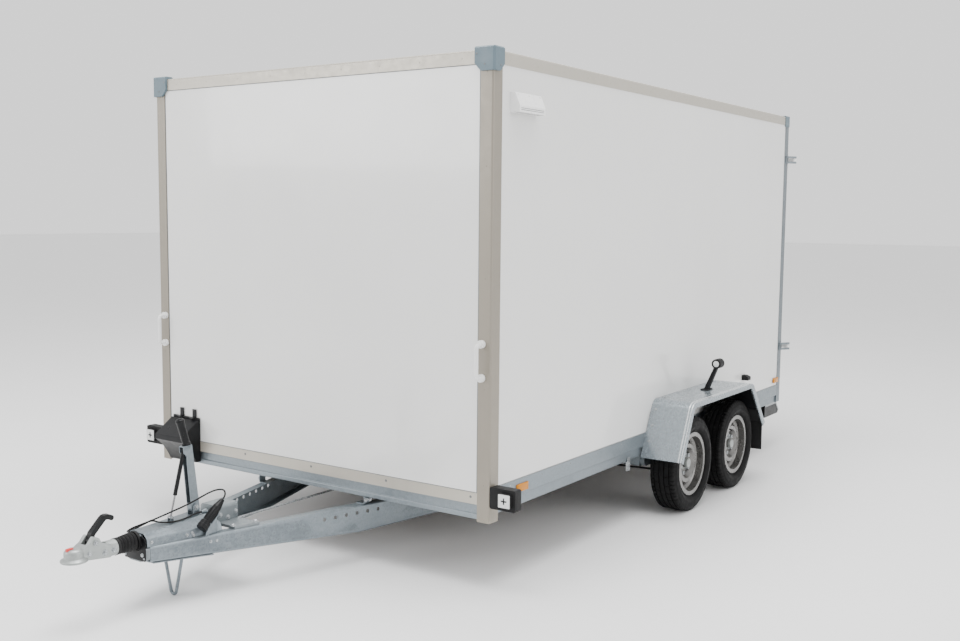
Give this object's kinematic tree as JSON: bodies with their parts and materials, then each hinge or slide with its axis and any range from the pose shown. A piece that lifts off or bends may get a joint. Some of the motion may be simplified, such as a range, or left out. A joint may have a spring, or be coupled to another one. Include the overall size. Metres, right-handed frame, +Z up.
{
  "type": "utility trailer",
  "caption": "Enclosed box trailer with tandem axles, pressed steel fenders, a V drawbar with overrun coupling and handbrake, and twin rear doors with lock bars.",
  "frame": {"origin": "bottom centre of the bounding box, on the ground under the middle of the trailer", "axes": "+Z up; +Y towards the rear doors, so the drawbar points to -Y; +X is the trailer's own left side"},
  "size_m": [2.542, 4.945, 2.261],
  "materials": {
    "laminate": "smooth gloss laminate",
    "profile": "satin anodised",
    "cap_plastic": "satin moulded plastic",
    "galvanised": "hot-dip galvanised with spangle",
    "fender_steel": "bright galvanised pressing",
    "floor_ply": "resin-coated plywood",
    "roof_laminate": "smooth gloss laminate",
    "tyre": "black tyre rubber",
    "rim_steel": "silver painted steel",
    "cast_coupling": "zinc plated casting",
    "guide_casting": "dark painted casting",
    "shaft_steel": "greased steel tube",
    "black_rubber": "moulded rubber",
    "black_plastic": "moulded plastic",
    "lamp_lens": "clear ribbed lens over a white base",
    "tail_lens": "red and amber lens",
    "white_plastic": "white moulded plastic",
    "chrome_rod": "ground chrome"
  },
  "bodies": {
    "chassis": {"axle_front": "galvanised", "axle_rear": "galvanised", "bellows": "black_rubber", "bottom_rail_front": "profile", "cable": "black_rubber", "chock_holder": "galvanised", "corner_caps": "cap_plastic", "coupling_handle": "black_plastic", "coupling_head": "cast_coupling", "coupling_shaft": "shaft_steel", "cross_members": "galvanised", "door_retainers": "black_rubber", "drawbar_beam_left": "galvanised", "drawbar_beam_right": "galvanised", "fender_left": "fender_steel", "fender_right": "fender_steel", "floor_panel": "floor_ply", "front_channel": "galvanised", "front_lamps": "black_rubber", "front_panel": "laminate", "front_post_left": "profile", "front_post_right": "profile", "grab_handles": "white_plastic", "mud_flaps": "black_rubber", "overrun_cover": "galvanised", "parking_stirrup": "galvanised", "plug": "black_plastic", "plug_holder": "galvanised", "rear_member": "galvanised", "rear_portal": "galvanised", "roof_panel": "roof_laminate", "shaft_guides": "guide_casting", "side_panel_left": "laminate", "side_panel_right": "laminate", "side_rail_left": "galvanised", "side_rail_right": "galvanised", "stalk_lamps": "black_rubber", "tail_lamps": "tail_lens", "top_rail_front": "profile", "top_rail_left": "profile", "top_rail_right": "profile", "vent_hoods": "white_plastic", "wheel_chock": "black_plastic"},
    "wheel_set_front_left": {"wheel_front_left": "rim_steel", "tyre_front_left": "tyre"},
    "wheel_set_front_right": {"wheel_front_right": "rim_steel", "tyre_front_right": "tyre"},
    "wheel_set_rear_left": {"wheel_rear_left": "rim_steel", "tyre_rear_left": "tyre"},
    "wheel_set_rear_right": {"wheel_rear_right": "rim_steel", "tyre_rear_right": "tyre"},
    "leaf_left": {"door_left": "laminate", "lock_bar_left": "galvanised"},
    "leaf_right": {"door_right": "laminate", "lock_bar_right": "galvanised"},
    "brake_arm": {"brake_lever": "galvanised", "lever_grip": "black_plastic"},
    "strut_tube": {"strut_barrel": "black_plastic"},
    "strut_piston": {"strut_rod": "chrome_rod"}
  },
  "joints": [
    {"name": "spin_front_left", "type": "hinge", "parent": "chassis", "child": "wheel_set_front_left", "pos_m": [1.1475, 0.5415, 0.256], "axis": [1, 0, 0], "continuous": true},
    {"name": "spin_front_right", "type": "hinge", "parent": "chassis", "child": "wheel_set_front_right", "pos_m": [-1.1475, 0.5415, 0.256], "axis": [1, 0, 0], "continuous": true},
    {"name": "spin_rear_left", "type": "hinge", "parent": "chassis", "child": "wheel_set_rear_left", "pos_m": [1.1475, 1.1615, 0.256], "axis": [1, 0, 0], "continuous": true},
    {"name": "spin_rear_right", "type": "hinge", "parent": "chassis", "child": "wheel_set_rear_right", "pos_m": [-1.1475, 1.1615, 0.256], "axis": [1, 0, 0], "continuous": true},
    {"name": "door_left_hinge", "type": "hinge", "parent": "chassis", "child": "leaf_left", "pos_m": [1.07, 2.4505, 1.334], "axis": [0, 0, -1], "range_deg": [0, 270]},
    {"name": "door_right_hinge", "type": "hinge", "parent": "chassis", "child": "leaf_right", "pos_m": [-1.07, 2.4505, 1.334], "axis": [0, 0, 1], "range_deg": [0, 270]},
    {"name": "brake_lever_pivot", "type": "hinge", "parent": "chassis", "child": "brake_arm", "pos_m": [0, -1.8465, 0.352], "axis": [1, 0, 0], "range_deg": [0, 38]},
    {"name": "strut_swing", "type": "hinge", "parent": "brake_arm", "child": "strut_tube", "pos_m": [0, -1.89115, 0.60256], "axis": [1, 0, 0], "range_deg": [-3.92, 0]},
    {"name": "strut_slide", "type": "slide", "parent": "strut_tube", "child": "strut_piston", "axis": [0, 0.2674, 0.9636], "range_m": [0, 0.0789]}
  ],
  "couplings": [
    {"joint": "strut_swing", "follows": "brake_lever_pivot", "ratio": -0.09},
    {"joint": "strut_slide", "follows": "brake_lever_pivot", "m_per_rad": 0.1175}
  ]
}
